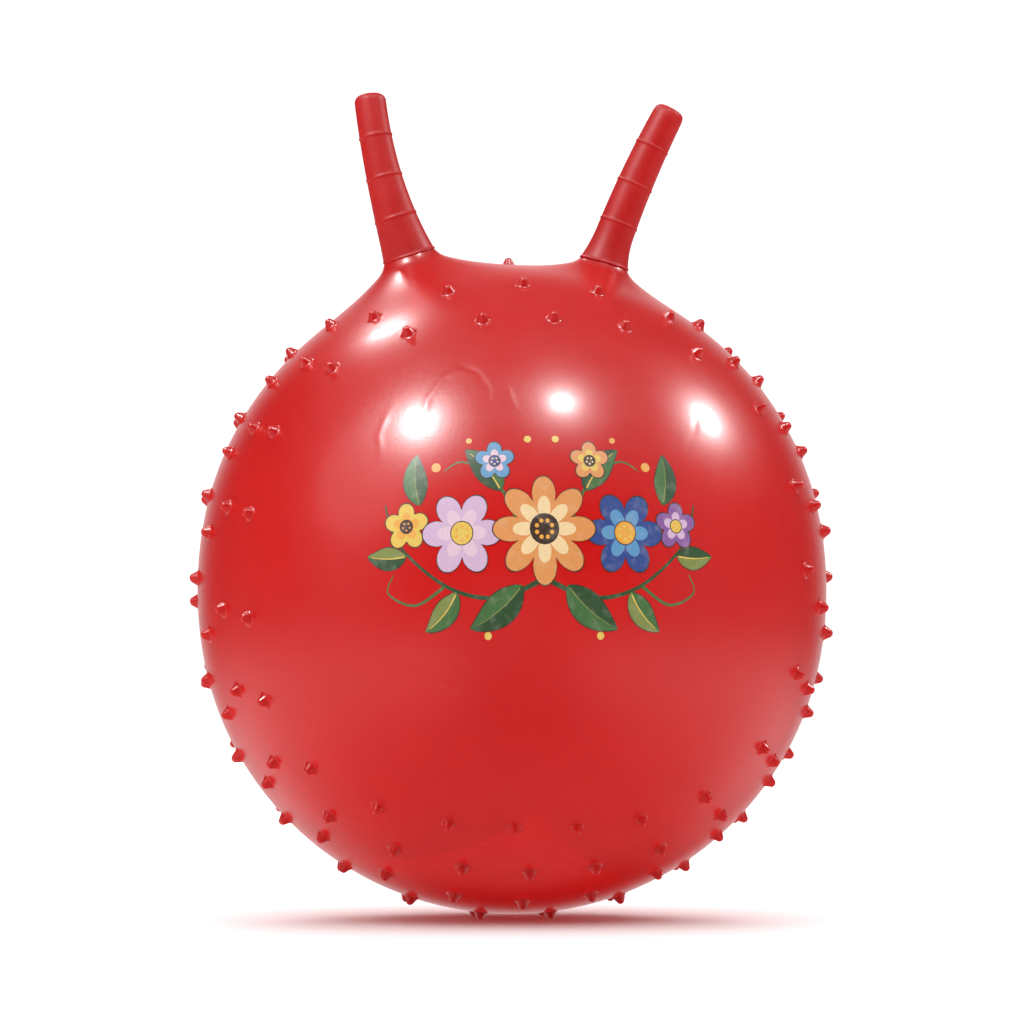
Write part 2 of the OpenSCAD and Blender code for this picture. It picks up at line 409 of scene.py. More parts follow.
def freeOfFittings(dirs):
    def away(d, angle):
        return np.arccos(np.clip(dirs @ d, -1, 1)) > angle
    keep = away(valveDir, math.asin((valve["collarRadius"] + studs["reach"]) / ball["radius"]))
    for neck in necks.values():
        keep &= away(neck["dir"], footAngle(neck) + math.asin(studs["reach"] / ball["radius"]))
    return dirs[keep]


rings = len(studs["more"])
studDirs = freeOfFittings(np.concatenate(
    [ringDirs(ring, False) for ring in range(rings)] + [ringDirs(ring, True) for ring in range(rings - 1)]))

# The ball stands on its lowest stud tips
halfShift = np.where(studDirs[:, 2] < 0, -ball["stretch"], ball["stretch"])
tipDepth = -halfShift - (ball["radius"] + studs["height"]) * studDirs[:, 2]
ballMiddle = tipDepth.max() - studs["footCut"]
studHeights = studs["height"] - np.maximum(0, tipDepth - ballMiddle) / np.abs(studDirs[:, 2])
print("studs:", len(studDirs), "middle of the ball at", round(ballMiddle / mm, 3), "mm")


# The stretch sets in softly from the middle to the poles
def lift(dz):
    return ball["stretch"] * np.tanh(dz / ball["soften"])


# Studs stay at the level that the solid gives them, so each direction is turned to suit the soft stretch
def settled(dirs):
    height = ball["radius"] * dirs[:, 2] + np.where(dirs[:, 2] < 0, -ball["stretch"], ball["stretch"])
    dz = dirs[:, 2].copy()
    for step in range(30):
        slope = ball["radius"] + ball["stretch"] / ball["soften"] / np.cosh(dz / ball["soften"]) ** 2
        dz = dz - (ball["radius"] * dz + lift(dz) - height) / slope
    flat = unit(dirs[:, :2]) * np.sqrt(1 - dz ** 2)[:, None]
    return np.concatenate([flat, dz[:, None]], axis=1)


studDirs = settled(studDirs)

# A stud's outline: round tip, straight side, and a flare into the skin
sideAngle = math.radians(studs["sideAngle"])
sideSin, sideCos = math.sin(sideAngle), math.cos(sideAngle)


def studMarks(height):
    tip, flare = studs["tipRadius"], studs["flare"]
    run = (height - tip + tip * sideSin - flare * (1 - sideSin)) / sideCos
    tipEdge = tip * sideCos
    sideEdge = tipEdge + run * sideSin
    return tipEdge, sideEdge, sideEdge + flare * sideCos


def studRise(r, height):
    tip, flare = studs["tipRadius"], studs["flare"]
    tipEdge, sideEdge, foot = studMarks(height)
    dome = height - tip + np.sqrt(np.maximum(0, tip ** 2 - r ** 2))
    side = flare * (1 - sideSin) + (sideEdge - r) * sideCos / sideSin
    skirt = flare - np.sqrt(np.maximum(0, flare ** 2 - np.clip(foot - r, 0, flare) ** 2))
    return np.where(r < tipEdge, dome, np.where(r < sideEdge, side, np.where(r < foot, skirt, 0.0)))


def neckRise(d):
    rise = np.zeros(len(d))
    for neck in necks.values():
        angle = np.degrees(np.arccos(np.clip(d @ neck["dir"], -1, 1)))
        tail = np.clip((neck["tail"] - angle) / (neck["tail"] - neck["topAngle"]), 0, None)
        steep = np.clip((neckForm["steepTo"] - angle) / (neckForm["steepTo"] - neck["topAngle"]), 0, 2)
        share, power = neckForm["tailShare"], neckForm["power"]
        rise += neck["rise"] * (share * tail ** power + (1 - share) * steep ** power)
    return rise


# The mould's parting line runs round each picture field, just outside the first ring
seam = {
    "outside": 5.8,
    "height": 0.08 * mm,
    "width": 0.7 * mm,
    "step": 4.5 * mm,
    "rows": (-1.8, -0.7, 0, 0.7, 1.8),
}

# Soft creases of the skin, as paths in mm to the right and up from the middle of the field
creases = (
    {"path": ((-104, -58), (-82, -76), (-50, -88), (-14, -93)), "depth": 0.45 * mm, "width": 4.5 * mm},
    {"path": ((-76, -94), (-48, -104), (-16, -104)), "depth": 0.35 * mm, "width": 4.5 * mm},
    {"path": ((34, -94), (55, -86), (72, -70)), "depth": 0.35 * mm, "width": 4 * mm},
    {"path": ((-86, 104), (-82, 122), (-70, 140), (-54, 148)), "depth": -0.26 * mm, "width": 3 * mm},
    {"path": ((-60, 152), (-44, 142), (-36, 126), (-38, 112)), "depth": 0.28 * mm, "width": 2.6 * mm},
    {"path": ((-112, 118), (-120, 96), (-118, 76)), "depth": -0.2 * mm, "width": 3 * mm},
    {"path": ((-30, 138), (-22, 126), (-18, 108)), "depth": -0.22 * mm, "width": 2.6 * mm},
    {"path": ((112, 86), (122, 98), (128, 114)), "depth": 0.2 * mm, "width": 3 * mm},
)
creaseForm = {"fade": 12 * mm, "fadePower": 0.7, "step": 3 * mm, "rows": (-2, -1.2, -0.5, 0, 0.5, 1.2, 2)}

# How far looser points of the skin keep from finer ones
clear = {"studs": 2.2 * mm, "lines": 0.9 * mm, "seam": 4 * mm, "creases": 3 * mm}


def fieldPlane(d):
    theta, psi = fieldAngles(d)
    return ball["radius"] * theta[:, None] * np.stack([np.sin(psi), np.cos(psi)], axis=1)


def fromPlane(spots):
    spots = np.asarray(spots, float)
    return fieldDir(np.linalg.norm(spots, axis=1) / ball["radius"], np.arctan2(spots[:, 0], spots[:, 1]))


def pathDistance(spots, path):
    path = np.asarray(path, float) * mm
    best = np.full(len(spots), 1e9)
    for a, b in zip(path[:-1], path[1:]):
        t = np.clip((spots - a) @ (b - a) / ((b - a) @ (b - a)), 0, 1)
        best = np.minimum(best, np.linalg.norm(spots - a - t[:, None] * (b - a), axis=1))
    return best


# Fades a crease out towards its two ends
def pathFade(spots, path):
    ends = np.asarray([path[0], path[-1]], float) * mm
    near = np.minimum(np.linalg.norm(spots - ends[0], axis=1), np.linalg.norm(spots - ends[1], axis=1))
    return np.clip(near / creaseForm["fade"], 0, 1) ** creaseForm["fadePower"]


def seamOffset(d):
    theta, psi = fieldAngles(d)
    theta = np.minimum(theta, np.pi - theta)
    return ball["radius"] * (theta - ovalAngle(psi) - math.radians(seam["outside"]))


def lineRise(d):
    rise = seam["height"] * np.exp(-(seamOffset(d) / seam["width"]) ** 2)
    spots = fieldPlane(d)
    for crease in creases:
        gap = pathDistance(spots, crease["path"])
        rise -= crease["depth"] * np.exp(-(gap / crease["width"]) ** 2) * pathFade(spots, crease["path"])
    return rise


def nearestStud(d):
    which = np.argmax(d @ studDirs.T, axis=1)
    return which, ball["radius"] * np.linalg.norm(d - studDirs[which], axis=1)


def skinPoint(d, withStuds=True):
    rise = neckRise(d) + lineRise(d)
    if withStuds:
        which, r = nearestStud(d)
        rise = rise + studRise(r, studHeights[which])
    points = d * (ball["radius"] + rise)[:, None]
    points[:, 2] += ballMiddle + lift(d[:, 2])
    return points


def sideways(d):
    helper = np.where(np.abs(d[:, 2:3]) < 0.9, [[0.0, 0.0, 1.0]], [[1.0, 0.0, 0.0]])
    first = unit(np.cross(helper, d))
    return first, np.cross(d, first)


def skinNormal(d, withStuds=True):
    tiny = 3e-5
    first, second = sideways(d)

    def at(step):
        return skinPoint(unit(d + step), withStuds)
    du = at(tiny * first) - at(-tiny * first)
    dv = at(tiny * second) - at(-tiny * second)
    return unit(np.cross(du, dv))


# A ring of directions round an axis
def ringRound(axis, angle, count, shift=0.0):
    axis = np.asarray(axis, float)[None, :]
    first, second = sideways(axis)
    turn = (np.arange(count) + shift)[:, None] * 2 * np.pi / count
    return math.cos(angle) * axis + math.sin(angle) * (np.cos(turn) * first + np.sin(turn) * second)


def spiralDirs(spacing):
    count = int(4 * np.pi * ball["radius"] ** 2 / (0.866 * spacing ** 2))
    k = np.arange(count) + 0.5
    z = 1 - 2 * k / count
    turn = np.pi * (1 + math.sqrt(5)) * k
    flat = np.sqrt(1 - z ** 2)
    return np.stack([flat * np.cos(turn), flat * np.sin(turn), z], axis=1)


def studRings(height):
    tipEdge, sideEdge, foot = studMarks(height)
    tip = [studs["tipRadius"] * math.sin(math.radians(a)) for a in studs["tipSteps"]]
    side = [tipEdge, (tipEdge * 2 + sideEdge) / 3, (tipEdge + sideEdge * 2) / 3, sideEdge]
    skirt = [foot - studs["flare"] * math.sin(math.radians(a)) for a in studs["skirtSteps"]]
    return tip + side + skirt + [foot, foot + studs["rim"]]


studPatch = max(studRings(studs["height"]))
neckRingGap = math.radians(1.1)


def skinDirs():
    parts = []
    for axis, height in zip(studDirs, studHeights):
        parts.append(axis[None, :])
        for n, r in enumerate(studRings(height)):
            angle = 2 * math.asin(r / ball["radius"] / 2)
            parts.append(ringRound(axis, angle, studs["segments"], 0.5 * (n % 2)))
    for neck in necks.values():
        edge = math.radians(neck["edge"])
        parts.append(ringRound(neck["dir"], edge, neckForm["segments"]))
        parts.append(ringRound(neck["dir"], edge + neckRingGap, neckForm["segments"], 0.5))
    hole = valve["holeRadius"] / ball["radius"]
    parts.append(ringRound(valveDir, hole, valve["segments"]))
    parts.append(ringRound(valveDir, hole * 1.25, valve["segments"], 0.5))
    parts.append(clearOfStuds(np.concatenate([seamDirs(False), seamDirs(True)])))
    for crease in creases:
        parts.append(clearOfStuds(creaseDirs(crease)))
    parts.append(openGround(spiralDirs(ball["spacing"])))
    return np.concatenate(parts)


def seamDirs(back):
    length = 2 * np.pi * ball["radius"] * math.sin(math.radians(studs["halfWidth"]))
    count = int(length / seam["step"])
    psi = np.arange(count) * 2 * np.pi / count
    theta = ovalAngle(psi) + math.radians(seam["outside"])
    rows = [theta + row * mm / ball["radius"] for row in seam["rows"]]
    return np.concatenate([fieldDir(np.pi - row if back else row, psi) for row in rows])


def creaseDirs(crease):
    path = np.asarray(crease["path"], float) * mm
    spots = []
    for a, b in zip(path[:-1], path[1:]):
        along = unit(b - a)
        across = np.array([-along[1], along[0]])
        steps = max(2, int(np.linalg.norm(b - a) / creaseForm["step"]))
        for t in (np.arange(steps) + 0.5) / steps:
            for row in creaseForm["rows"]:
                spots.append(a + t * (b - a) + across * row * crease["width"])
    return fromPlane(spots)


def clearOfStuds(d):
    return d[nearestStud(d)[1] > studPatch + clear["lines"]]


# Evenly spread points, apart from where finer ones lie
def openGround(d):
    d = d[nearestStud(d)[1] > studPatch + clear["studs"]]
    d = d[np.abs(seamOffset(d)) > clear["seam"]]
    spots = fieldPlane(d)
    keep = np.ones(len(d), bool)
    for crease in creases:
        keep &= pathDistance(spots, crease["path"]) > 2 * crease["width"] + clear["creases"]
    for neck in necks.values():
        keep &= np.arccos(np.clip(d @ neck["dir"], -1, 1)) > math.radians(neck["edge"]) + 2 * neckRingGap
    keep &= np.arccos(np.clip(d @ valveDir, -1, 1)) > valve["collarRadius"] / ball["radius"]
    keep &= d @ farPole < math.cos(1.6 * poleRing["angle"])
    return d[keep]


# Joins directions into triangles on a flat map whose far point is the middle of the back
farPole = fieldDir(np.array(np.pi), np.array(0.0))
poleRing = {"angle": math.radians(2.6), "count": 16}


def joinOnMap(d):
    front = -farPole
    first = unit(np.cross([0.0, 0.0, 1.0], front))
    second = np.cross(front, first)
    ring = ringRound(farPole, poleRing["angle"], poleRing["count"])
    d = np.concatenate([d, ring])
    away = (1 - d @ farPole)[:, None]
    flat = np.stack([d @ first, d @ second], axis=1) / away
    made = delaunay_2d_cdt([Vector(p) for p in flat], [], [], 0, 1e-9)
    kept = np.array([origin[0] for origin in made[3]])
    faces = kept[np.array(made[2])]
    d = np.concatenate([d, farPole[None, :]])
    count, pole = poleRing["count"], len(d) - 1
    ringStart = pole - count
    fan = [(ringStart + k, ringStart + (k + 1) % count, pole) for k in range(count)]
    faces = np.concatenate([faces, np.array(fan)])
    corners = d[faces]
    outward = np.einsum("ij,ij->i", np.cross(corners[:, 1] - corners[:, 0], corners[:, 2] - corners[:, 0]),
                        corners.mean(axis=1))
    faces[outward < 0] = faces[outward < 0][:, ::-1]
    return d, faces


# Leaves the holes for the necks and the valve open
def openHoles(d, faces):
    middle = unit(d[faces].mean(axis=1))
    keep = middle @ valveDir < math.cos(valve["holeRadius"] / ball["radius"])
    for neck in necks.values():
        keep &= middle @ neck["dir"] < math.cos(math.radians(neck["edge"]))
    faces = faces[keep]
    used = np.unique(faces)
    place = np.full(len(d), -1)
    place[used] = np.arange(len(used))
    return d[used], place[faces]


dirs, faces = openHoles(*joinOnMap(skinDirs()))
ballSkin = meshPiece("ball_skin", skinPoint(dirs), faces, skin, skinNormal(dirs))
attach(ballSkin, "ball")
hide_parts("ball_shell")
print("ball skin:", len(dirs), "points", len(faces), "faces")


def gridFaces(rows, columns):
    k = np.arange(columns)
    after = (k + 1) % columns
    faces = []
    for row in range(rows - 1):
        low, high = row * columns, (row + 1) * columns
        faces += list(zip(low + k, low + after, high + after, high + k))
    return faces


# A neck carries the ball's surface up to the horn's foot and tucks in under it
def buildNeck(side):
    neck = necks[side]
    count = neckForm["segments"]
    edge, top = math.radians(neck["edge"]), math.radians(neck["topAngle"])
    share = np.linspace(0, 1, neckForm["rings"])
    angles = edge + (top - edge) * (1 - (1 - share) ** neckForm["crowding"])
    d = np.concatenate([ringRound(neck["dir"], angle, count) for angle in angles])
    points, normals = skinPoint(d, False), skinNormal(d, False)
    centre = np.array([0, 0, ballMiddle + ball["stretch"]])
    for inward, height in neckForm["tuck"]:
        ring = ringRound(neck["dir"], math.pi / 2, count)
        level = centre + neck["dir"] * (neck["top"] + height)
        points = np.concatenate([points, level + ring * (neck["topRadius"] - inward)])
        normals = np.concatenate([normals, np.repeat(neck["dir"][None, :], count, axis=0)])
    piece = meshPiece(side + "_neck", points, gridFaces(neckForm["rings"] + 2, count), skin, normals)
    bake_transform(piece)
    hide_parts(side + "_horn_root")
    print(piece.name, "made")


buildNeck("left")
buildNeck("right")


# Grips: a taper that flares at its foot, with a bead there and three ribs
horns = {
    "left": {"leanFoot": 21.0, "leanTip": 5.0, "backTip": 16.0, "start": -0.5 * mm,
             "tipRadius": 11.35 * mm, "body": 7.1 * mm, "taper": 2.3, "flare": 0.5 * mm},
    "right": {"leanFoot": 19.5, "leanTip": 28.5, "backTip": 4.0, "start": -2.0 * mm,
              "tipRadius": 11.1 * mm, "body": 3.2 * mm, "taper": 0.9, "flare": 3.0 * mm},
}
hornForm = {
    "length": 120 * mm,
    "flareLength": 22 * mm,
    "tipRound": 5 * mm,
    "crown": 0.8 * mm,
    "beadHeight": 0.6 * mm,
    "beadWidth": 0.8 * mm,
    "ribs": (29 * mm, 59 * mm, 89 * mm),
    "ribHeight": 0.6 * mm,
    "ribWidth": 0.9 * mm,
    "settle": 18 * mm,
    "seamGap": 0.3 * mm,
    "segments": 64,
    "beadPlace": 0.8 * mm,
    "ringStep": 2.2 * mm,
    "ribClear": 3 * mm,
    "ribSteps": (-2.4, -1.6, -1.1, -0.7, -0.35, 0, 0.35, 0.7, 1.1, 1.6, 2.4),
    "crownSteps": (0.75, 0.45, 0.15),
    "crownShare": 0.35,
    "tipRings": 9,
}


def hornDir(side, s):
    neck, horn = necks[side], horns[side]
    t = np.asarray(s) / hornForm["length"]
    out = np.radians(horn["leanFoot"] + (horn["leanTip"] - horn["leanFoot"]) * t)
    back = np.radians(neckForm["back"] + (horn["backTip"] - neckForm["back"]) * t)
    return unit(np.stack([neck["side"] * np.tan(out), np.tan(back), np.ones_like(out)], axis=-1))


def hornPoint(side, s):
    neck = necks[side]
    foot = np.array([0, 0, ballMiddle + ball["stretch"]])
    foot = foot + (ball["radius"] + neck["height"] + hornForm["seamGap"]) * neck["dir"]
    steps = 24
    return foot + s * hornDir(side, s * (np.arange(steps) + 0.5) / steps).mean(axis=0)


def hornRadius(side, s):
    form, horn = hornForm, horns[side]
    share = min(1.0, max(0.0, 1 - s / form["length"]))
    radius = horn["tipRadius"] + horn["body"] * share ** horn["taper"]
    radius += horn["flare"] * max(0.0, 1 - s / form["flareLength"]) ** 2
    fromBead = s - horn["start"] - form["beadPlace"]
    radius += form["beadHeight"] * math.exp(-(fromBead / form["beadWidth"]) ** 2)
    for place in form["ribs"]:
        radius += form["ribHeight"] * math.exp(-((s - place) / form["ribWidth"]) ** 2)
    return radius


def hornRings(side):
    form, horn = hornForm, horns[side]
    straight = form["length"] - form["tipRound"]
    places = list(np.arange(horn["start"], straight, form["ringStep"]))
    for place in (horn["start"] + form["beadPlace"], *form["ribs"]):
        places = [s for s in places if abs(s - place) > form["ribClear"]]
        places += [place + step * mm for step in form["ribSteps"]]
    places = sorted(s for s in places if s >= horn["start"])
    foot = hornRadius(side, horn["start"])
    rings = [(horn["start"] + 0.5 * mm, foot - 2.5 * mm), (horn["start"], foot - 0.5 * mm)]
    rings += [(s, hornRadius(side, s)) for s in places]
    end = hornRadius(side, form["length"])
    for a in np.radians(np.linspace(0, 90, form["tipRings"])):
        level = straight + form["tipRound"] * math.sin(a)
        rings.append((level, end - form["tipRound"] * (1 - math.cos(a))))
    for share in form["crownSteps"]:
        level = form["length"] + form["crown"] * (1 - share ** 2) * form["crownShare"]
        rings.append((level, (end - form["tipRound"]) * share))
    return rings


def buildHorn(side):
    neck, form = necks[side], hornForm
    count = form["segments"]
    turn = np.arange(count)[:, None] * 2 * np.pi / count
    points = []
    for s, radius in hornRings(side):
        share = min(1.0, max(0.0, s / form["settle"]))
        d = unit((1 - share) * neck["dir"] + share * hornDir(side, np.array(min(s, form["length"]))))
        first = unit(np.cross([0.0, 1.0, 0.0], d))
        second = np.cross(d, first)
        points.append(hornPoint(side, s) + radius * (np.cos(turn) * first + np.sin(turn) * second))
    points = np.concatenate(points)
    rows = len(points) // count
    faces = gridFaces(rows, count) + [tuple((rows - 1) * count + np.arange(count))]
    piece = meshPiece(side + "_grip", points, faces, hornSkin)
    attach(piece, side + "_horn")
    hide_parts(side + "_horn")
    print(piece.name, "made:", len(points), "points")


buildHorn("left")
buildHorn("right")


# The printed garland: flat ink shapes laid on the skin, in mm from the middle of the picture
garland = {"up": 18.0, "lift": 0.05 * mm, "layer": 0.016 * mm, "fill": 3.0}
inks = {
    "darkGreen": (0.022, 0.075, 0.022),
    "green": (0.05, 0.15, 0.035),
    "olive": (0.20, 0.24, 0.05),
    "yellow": (0.75, 0.50, 0.07),
    "gold": (0.80, 0.36, 0.04),
    "brown": (0.045, 0.02, 0.012),
    "tan": (0.72, 0.28, 0.075),
    "cream": (0.85, 0.62, 0.33),
    "lilac": (0.62, 0.42, 0.60),
    "pink": (0.74, 0.52, 0.62),
    "purple": (0.24, 0.09, 0.32),
    "denim": (0.025, 0.06, 0.26),
    "steel": (0.10, 0.29, 0.52),
}
inkShapes = []

# Parts of a flower, as shares of its size, and its line widths in mm
flowerForm = {
    "notch": 0.55,
    "outline": 0.9,
    "blush": 0.62,
    "blushNotch": 0.42,
    "eye": 0.27,
    "eyeLine": 0.7,
    "dotsAt": 0.16,
    "dot": 0.035,
    "dotLeast": 0.25,
}
leafForm = {"outline": 0.7, "rib": 0.55, "steps": 19}


def lay(colour, layer, outline):
    inkShapes.append((inks[colour], layer, np.asarray(outline, float)))


def disc(colour, layer, u, v, r, sides=20):
    a = np.arange(sides) * 2 * np.pi / sides
    lay(colour, layer, np.stack([u + r * np.cos(a), v + r * np.sin(a)], axis=1))


def petalOutline(u, v, size, petals, turn, notch, grow=0.0):
    a = np.arange(petals * 14) * 2 * np.pi / (petals * 14)
    r = size * (notch + (1 - notch) * np.abs(np.cos(petals * (a - math.radians(turn)) / 2)) ** 0.75) + grow
    return np.stack([u + r * np.cos(a), v + r * np.sin(a)], axis=1)


def flower(u, v, size, petals, turn, petal, blush, eye, dots, base=6):
    form = flowerForm
    lay("brown", base, petalOutline(u, v, size, petals, turn, form["notch"], form["outline"]))
    lay(petal, base + 1, petalOutline(u, v, size, petals, turn, form["notch"]))
    lay(blush, base + 2, petalOutline(u, v, size * form["blush"], petals, turn, form["blushNotch"]))
    disc("brown", base + 3, u, v, size * form["eye"] + form["eyeLine"])
    disc(eye, base + 4, u, v, size * form["eye"])
    out = size * form["dotsAt"]
    for k in range(petals):
        a = math.radians(turn + (k + 0.5) * 360 / petals)
        dotRadius = size * form["dot"] + form["dotLeast"]
        disc(dots, base + 5, u + out * math.cos(a), v + out * math.sin(a), dotRadius, 10)


def leafLine(u, v, length, angle, bend, t):
    a = np.radians(angle + bend * t / 2)
    return np.stack([u + length * t * np.cos(a), v + length * t * np.sin(a)], axis=-1)


def leaf(u, v, length, width, angle, bend, under, over, rib):
    t = np.linspace(0, 1, leafForm["steps"])
    middle = leafLine(u, v, length, angle, bend, t)
    way = np.gradient(middle, axis=0)
    across = unit(np.stack([-way[:, 1], way[:, 0]], axis=1))
    half = (width / 2 * np.sin(np.pi * t ** 0.85) ** 0.9)[:, None]
    left, right = middle + across * half, middle - across * half
    edge = (half > 0) * leafForm["outline"]
    lay("brown", 2, np.concatenate([(left + across * edge)[:-1], (right - across * edge)[:0:-1]]))
    lay(under, 3, np.concatenate([left[:-1], right[:0:-1]]))
    lay(over, 4, np.concatenate([middle[:-1], right[:0:-1]]))
    thin = across * (leafForm["rib"] * (1 - 0.7 * t))[:, None]
    lay(rib, 5, np.concatenate([(middle + thin)[1:-2], (middle - thin)[1:-2][::-1]]))


def tendril(points, width, colour):
    points = np.asarray(points, float)
    t = np.linspace(0, 1, 33)
    s = t * (len(points) - 1)
    k = np.minimum(s.astype(int), len(points) - 2)
    f = (s - k)[:, None]
    before, after = points[np.maximum(k - 1, 0)], points[np.minimum(k + 2, len(points) - 1)]
    a, b = points[k], points[k + 1]
    bend = 2 * before - 5 * a + 4 * b - after
    twist = 3 * (a - b) + after - before
    line = a + 0.5 * f * (b - before + f * (bend + f * twist))
    way = np.gradient(line, axis=0)
    across = unit(np.stack([-way[:, 1], way[:, 0]], axis=1)) * (width / 2 * (1 - 0.65 * t))[:, None]
    lay(colour, 1, np.concatenate([line + across, (line - across)[::-1]]))


for side in (-1, 1):
    stem = [(0, -30), (side * 34, -42), (side * 70, -34), (side * 104, -6), (side * 114, 22)]
    tendril(stem, 3.4, "darkGreen")
    tendril([(side * 70, -34), (side * 92, -46), (side * 112, -38), (side * 108, -26)], 2.2, "green")
    tendril([(side * 20, 10), (side * 34, 36), (side * 56, 50), (side * 70, 44)], 2.4, "green")
    leaf(side * 16, -34, 46, 21, 270 + side * 38, side * 30, "darkGreen", "green", "olive")
    leaf(side * 62, -38, 34, 16, 270 + side * 24, side * 36, "green", "olive", "yellow")
    leaf(side * 98, -14, 30, 15, 90 - side * 100, side * 24, "darkGreen", "olive", "yellow")
    leaf(side * 88, 20, 38, 17, 90 - side * 18, side * 30, "green", "darkGreen", "olive")
    leaf(side * 30, 28, 40, 18, 90 - side * 24, -side * 30, "darkGreen", "green", "yellow")
    disc("gold", 3, side * 76, 47, 3.4)
    disc("yellow", 3, side * 10, 66, 2.6)
    disc("gold", 3, side * 52, 66, 2.2)
    disc("yellow", 3, side * 40, -66, 2.6)

flower(0, 2, 36, 8, 90, "tan", "cream", "brown", "gold", 18)
flower(-58, 0, 28, 6, 60, "lilac", "pink", "yellow", "gold", 12)
flower(58, 0, 28, 6, 60, "denim", "steel", "gold", "yellow", 12)
flower(-98, 6, 16, 5, 90, "yellow", "gold", "brown", "tan")
flower(98, 6, 16, 5, 90, "purple", "lilac", "yellow", "gold")
flower(-34, 50, 14, 5, 90, "steel", "pink", "denim", "cream")
flower(34, 50, 14, 5, 90, "tan", "yellow", "brown", "cream")


def inside(outline, spots):
    x, y = spots[:, 0], spots[:, 1]
    hit = np.zeros(len(spots), bool)
    for a, b in zip(outline, np.roll(outline, -1, axis=0)):
        crosses = (a[1] > y) != (b[1] > y)
        climb = b[1] - a[1] if b[1] != a[1] else 1.0
        run = np.where(crosses, (b[0] - a[0]) * (y - a[1]) / climb + a[0], 0)
        hit ^= crosses & (x < run)
    return hit


def clearSpots(outline, step):
    low, high = outline.min(axis=0), outline.max(axis=0)
    x, y = np.meshgrid(np.arange(low[0], high[0], step), np.arange(low[1], high[1], step))
    spots = np.stack([x.ravel(), y.ravel()], axis=1)
    if not len(spots):
        return spots
    spots = spots[inside(outline, spots)]
    gap = np.linalg.norm(spots[:, None] - outline[None], axis=2)
    return spots[gap.min(axis=1) > 0.4 * step] if len(spots) else spots


# Turns a triangle so that its front faces up
def faceUp(flat, f):
    return f if np.cross(flat[f[1]] - flat[f[0]], flat[f[2]] - flat[f[0]]) > 0 else f[::-1]


def buildPrint():
    points, normals, faces, colours = [], [], [], []
    for colour, layer, outline in inkShapes:
        spots = clearSpots(outline, garland["fill"])
        flat = np.concatenate([outline, spots])
        edges = [(k, (k + 1) % len(outline)) for k in range(len(outline))]
        made = delaunay_2d_cdt([Vector(p) for p in flat], edges, [], 1, 1e-6)
        flat = np.array([tuple(p) for p in made[0]])
        d = fromPlane((flat + [0, garland["up"]]) * mm)
        up = skinNormal(d, False)
        start = sum(len(p) for p in points)
        points.append(skinPoint(d, False) + up * (garland["lift"] + garland["layer"] * layer))
        normals.append(up)
        faces += [[start + k for k in faceUp(flat, f)] for f in made[2]]
        colours += [colour] * len(made[2])
    piece = meshPiece("front_print", np.concatenate(points), faces, ink, np.concatenate(normals))
    layer = piece.data.color_attributes.new("ink", "FLOAT_COLOR", "CORNER")
    flatColours = np.ones((len(colours), 3, 4))
    flatColours[:, :, :3] = np.asarray(colours)[:, None, :]
    layer.data.foreach_set("color", flatColours.ravel())
    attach(piece, "ball")
    print("print made:", len(inkShapes), "ink shapes", len(faces), "faces")


buildPrint()

for name in ("valve_seat", "valve_plug"):
    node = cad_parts[name]
    node.data.materials.clear()
    node.data.materials.append(valveWhite)


# Camera: far off with a long lens, a little to the left of the ball's front
shot = {
    "azimuth": -5.9,
    "elevation": 0.9,
    "distance": 9.0,
    "frameWidth": 732.6 * mm,
    "aboveMiddle": 55.8 * mm,
    "sensor": 36.0,
}


def compass(azimuth, elevation):
    a, e = math.radians(azimuth), math.radians(elevation)
    return Vector((math.sin(a) * math.cos(e), -math.cos(a) * math.cos(e), math.sin(e)))


def addCamera():
    data = bpy.data.cameras.new("camera")
    data.sensor_width = shot["sensor"]
    data.lens = shot["sensor"] * shot["distance"] / shot["frameWidth"]
    data.clip_end = 60
    camera = bpy.data.objects.new("camera", data)
    bpy.context.scene.collection.objects.link(camera)
    back = compass(shot["azimuth"], shot["elevation"])
    camera.location = Vector((0, 0, ballMiddle + shot["aboveMiddle"])) + back * shot["distance"]
    camera.rotation_euler = (-back).to_track_quat("-Z", "Y").to_euler()
    bpy.context.scene.camera = camera


addCamera()

# The way to each lamp is right, away from the camera, up. The gloss lamps are placed so that their
# highlights lie as in the photo, and the one below stands in for the light that a white floor throws up
lamps = {
    "key": {"way": (-0.46, -0.37, 0.80), "distance": 2.2, "size": 0.19, "power": 70, "shows": "gloss"},
    "middle": {"way": (0.252, -0.355, 0.9), "distance": 2.4, "size": 0.26, "power": 36, "shows": "gloss"},
    "right": {"way": (0.755, 0.206, 0.622), "distance": 2.4, "size": 0.26, "power": 36, "shows": "gloss"},
    "rear": {"way": (-0.38, 0.52, 0.764), "distance": 2.6, "size": 0.35, "power": 14, "shows": "gloss"},
    "soft": {"way": (-0.72, -0.4, 0.55), "distance": 2.2, "size": 1.6, "power": 11, "shows": "gloss"},
    "fillLeft": {"way": (-0.85, -0.45, 0.25), "distance": 3.0, "size": 2.0, "power": 20, "shows": "shade"},
    "fillRight": {"way": (0.9, -0.35, 0.25), "distance": 3.0, "size": 2.0, "power": 14, "shows": "shade"},
    "back": {"way": (0.0, 0.87, 0.5), "distance": 3.2, "size": 1.6, "power": 60, "shows": "shade"},
    "bounce": {"way": (0.0, -0.97, -0.16), "distance": 1.3, "size": 0.8, "power": 1.8, "shows": "shade"},
    "below": {"way": (0.0, -0.25, -0.97), "distance": 1.2, "size": 1.0, "power": 4.5, "shows": "shade"},
}


